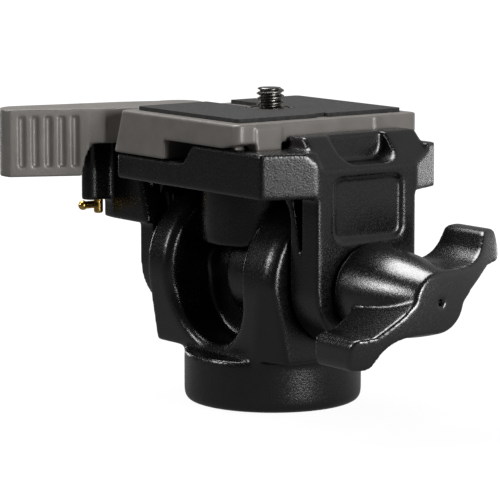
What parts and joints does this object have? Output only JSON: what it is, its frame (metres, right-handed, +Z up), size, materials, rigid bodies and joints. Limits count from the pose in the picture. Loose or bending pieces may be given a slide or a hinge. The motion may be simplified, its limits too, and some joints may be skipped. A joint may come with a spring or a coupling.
{
  "type": "monopod tilt head",
  "caption": "Monopod tilt head: forked base with a threaded socket, head tilting on a cross bolt locked by a wing knob, and a lever-clamped camera plate with its screw.",
  "frame": {"origin": "centre of the socket's mouth, on the underside of the base", "axes": "+Z up along the socket's axis, +X along the tilt bolt towards the knob, -Y towards the side of the lever's grip"},
  "size_m": [0.1097, 0.0718, 0.0727],
  "materials": {
    "black_cast": "grainy black powder coat on a casting",
    "grey_cast": "warm grey satin coat on a casting",
    "black_plastic": "satin moulded black nylon",
    "pad_rubber": "matte grippy rubber",
    "steel": "turned zinc-plated steel",
    "brass": "turned brass",
    "nylon": "natural nylon"
  },
  "bodies": {
    "base": {"base_casting": "black_cast", "socket_insert": "brass", "bolt_bush_left": "nylon", "bolt_bush_right": "nylon"},
    "head": {"head_casting": "black_cast", "friction_disc_left": "nylon", "friction_disc_right": "nylon", "pivot_bolt": "steel", "knob_washer": "steel", "lever_pivot_screw": "steel", "lever_washer": "steel", "lever_spring": "steel", "trigger_spring": "steel", "trigger_plug": "black_plastic", "catch_bush": "brass"},
    "knob": {"wing_knob": "black_plastic", "knob_insert": "brass"},
    "lever": {"clamp_lever": "grey_cast", "lever_dowel": "steel"},
    "catch": {"safety_catch": "brass"},
    "trigger": {"trigger_plunger": "brass"},
    "plate": {"quick_plate": "grey_cast", "rubber_pad": "pad_rubber", "screw_collar": "steel"},
    "screw": {"camera_screw": "steel", "screw_clip": "steel"}
  },
  "joints": [
    {"name": "head_tilt", "type": "hinge", "parent": "base", "child": "head", "pos_m": [0, 0, 0.0302], "axis": [1, 0, 0], "range_deg": [-90, 90]},
    {"name": "knob_turn", "type": "hinge", "parent": "head", "child": "knob", "pos_m": [0.048, 0, 0.0302], "axis": [1, 0, 0], "continuous": true},
    {"name": "lever_swing", "type": "hinge", "parent": "head", "child": "lever", "pos_m": [-0.0336, -0.003, 0.062], "axis": [0, 0, -1], "range_deg": [0, 90]},
    {"name": "catch_swing", "type": "hinge", "parent": "head", "child": "catch", "pos_m": [-0.0433, -0.0196, 0.046], "axis": [0, 0, 1], "range_deg": [0, 25]},
    {"name": "plunger_lift", "type": "slide", "parent": "head", "child": "trigger", "axis": [0, 0, 1], "range_m": [0, 0.0022], "deforming": ["trigger_spring"]},
    {"name": "plate_tip", "type": "hinge", "parent": "head", "child": "plate", "pos_m": [0.0185, 0, 0.0594], "axis": [0, 1, 0], "range_deg": [0, 5]},
    {"name": "screw_turn", "type": "hinge", "parent": "plate", "child": "screw", "pos_m": [-0.0005, -0.0004, 0.066], "axis": [0, 0, 1], "continuous": true}
  ],
  "couplings": [
    {"joint": "plunger_lift", "follows": "lever_swing", "m_per_rad": 0.0014},
    {"joint": "plate_tip", "follows": "lever_swing", "ratio": 0.055556}
  ]
}
